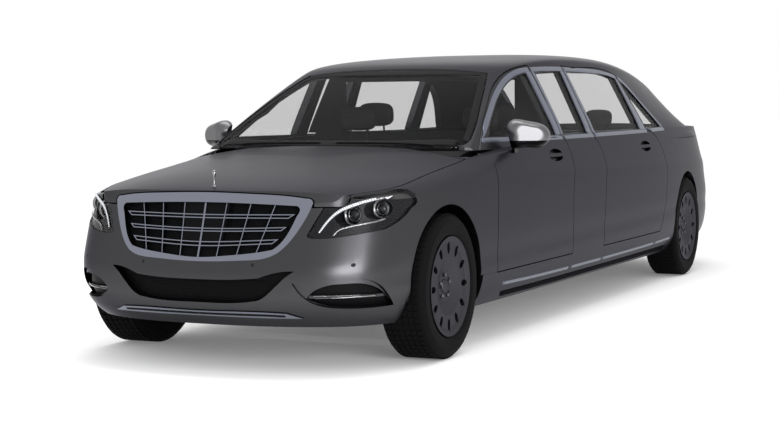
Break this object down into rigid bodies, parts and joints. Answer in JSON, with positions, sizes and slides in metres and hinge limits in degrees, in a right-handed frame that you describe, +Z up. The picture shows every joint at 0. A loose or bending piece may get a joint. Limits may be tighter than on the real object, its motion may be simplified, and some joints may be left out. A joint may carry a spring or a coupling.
{
  "type": "stretch limousine",
  "caption": "Long saloon car with a fixed panel between its doors, opening doors, hood and boot lid, steered front wheels and a furnished hollow cabin.",
  "frame": {"origin": "on the ground, below the middle of the body's length and width", "axes": "+X forward, +Y to the car's left, +Z up"},
  "size_m": [6.4989, 2.1296, 1.566],
  "materials": {
    "paint": "metallic warm grey",
    "body_structure": "satin",
    "black_plastic": "matte",
    "bright_trim": "satin bright",
    "tinted_glass": "tinted",
    "lamp_housing": "satin grey",
    "lamp_glass": "clear gloss",
    "lamp_red": "gloss",
    "seat_leather": "soft satin",
    "trim_dark": "matte",
    "cast_metal": "rough",
    "axle_steel": "satin",
    "pipe_steel": "satin",
    "wheel_alloy": "dark satin",
    "tyre": "matte"
  },
  "bodies": {
    "body": {"floor_pan": "body_structure", "roof_panel": "paint", "side_frames": "paint", "front_fenders": "paint", "front_bumper": "paint", "rear_bumper": "paint", "rear_panel": "paint", "windshield": "tinted_glass", "fixed_glass": "tinted_glass", "grille": "bright_trim", "grille_mesh": "black_plastic", "headlamps": "lamp_housing", "headlamp_lenses": "lamp_glass", "tail_lamps": "lamp_red", "dashboard": "trim_dark", "steering_wheel": "trim_dark", "front_seats": "seat_leather", "rear_seats": "seat_leather", "partition": "trim_dark", "engine_block": "cast_metal", "front_axle": "axle_steel", "rear_axle": "axle_steel", "exhaust": "pipe_steel"},
    "front_door_left_body": {"front_door_left": "paint", "front_glass_left": "tinted_glass", "mirror_left": "paint"},
    "front_door_right_body": {"front_door_right": "paint", "front_glass_right": "tinted_glass", "mirror_right": "paint"},
    "rear_door_left_body": {"rear_door_left": "paint", "rear_glass_left": "tinted_glass"},
    "rear_door_right_body": {"rear_door_right": "paint", "rear_glass_right": "tinted_glass"},
    "hood_body": {"hood": "paint"},
    "trunk_lid_body": {"trunk_lid": "paint"},
    "knuckle_left_body": {"knuckle_left": "axle_steel"},
    "knuckle_right_body": {"knuckle_right": "axle_steel"},
    "wheel_front_left": {"rim_front_left": "wheel_alloy", "tyre_front_left": "tyre"},
    "wheel_front_right": {"rim_front_right": "wheel_alloy", "tyre_front_right": "tyre"},
    "wheel_rear_left": {"rim_rear_left": "wheel_alloy", "tyre_rear_left": "tyre"},
    "wheel_rear_right": {"rim_rear_right": "wheel_alloy", "tyre_rear_right": "tyre"}
  },
  "joints": [
    {"name": "hood_hinge", "type": "hinge", "parent": "body", "child": "hood_body", "pos_m": [1.745, 0, 1.005], "axis": [0, -1, 0], "range_deg": [0, 55]},
    {"name": "trunk_hinge", "type": "hinge", "parent": "body", "child": "trunk_lid_body", "pos_m": [-2.64, 0, 1.092], "axis": [0, 1, 0], "range_deg": [0, 75]},
    {"name": "front_door_left_hinge", "type": "hinge", "parent": "body", "child": "front_door_left_body", "pos_m": [1.815, 0.95, 0.7], "axis": [0, 0, -1], "range_deg": [0, 66]},
    {"name": "front_door_right_hinge", "type": "hinge", "parent": "body", "child": "front_door_right_body", "pos_m": [1.815, -0.95, 0.7], "axis": [0, 0, 1], "range_deg": [0, 66]},
    {"name": "rear_door_left_hinge", "type": "hinge", "parent": "body", "child": "rear_door_left_body", "pos_m": [0.116, 0.95, 0.7], "axis": [0, 0, -1], "range_deg": [0, 66]},
    {"name": "rear_door_right_hinge", "type": "hinge", "parent": "body", "child": "rear_door_right_body", "pos_m": [0.116, -0.95, 0.7], "axis": [0, 0, 1], "range_deg": [0, 66]},
    {"name": "steer_left", "type": "hinge", "parent": "body", "child": "knuckle_left_body", "pos_m": [2.4045, 0.8115, 0.354], "axis": [0, 0, 1], "range_deg": [-33, 33]},
    {"name": "steer_right", "type": "hinge", "parent": "body", "child": "knuckle_right_body", "pos_m": [2.4045, -0.8115, 0.354], "axis": [0, 0, 1], "range_deg": [-33, 33]},
    {"name": "wheel_front_left_spin", "type": "hinge", "parent": "knuckle_left_body", "child": "wheel_front_left", "pos_m": [2.4045, 0.8115, 0.354], "axis": [0, 1, 0], "continuous": true},
    {"name": "wheel_front_right_spin", "type": "hinge", "parent": "knuckle_right_body", "child": "wheel_front_right", "pos_m": [2.4045, -0.8115, 0.354], "axis": [0, 1, 0], "continuous": true},
    {"name": "wheel_rear_left_spin", "type": "hinge", "parent": "body", "child": "wheel_rear_left", "pos_m": [-2.0135, 0.8115, 0.354], "axis": [0, 1, 0], "continuous": true},
    {"name": "wheel_rear_right_spin", "type": "hinge", "parent": "body", "child": "wheel_rear_right", "pos_m": [-2.0135, -0.8115, 0.354], "axis": [0, 1, 0], "continuous": true}
  ],
  "couplings": [
    {"joint": "steer_right", "follows": "steer_left", "ratio": 1}
  ]
}
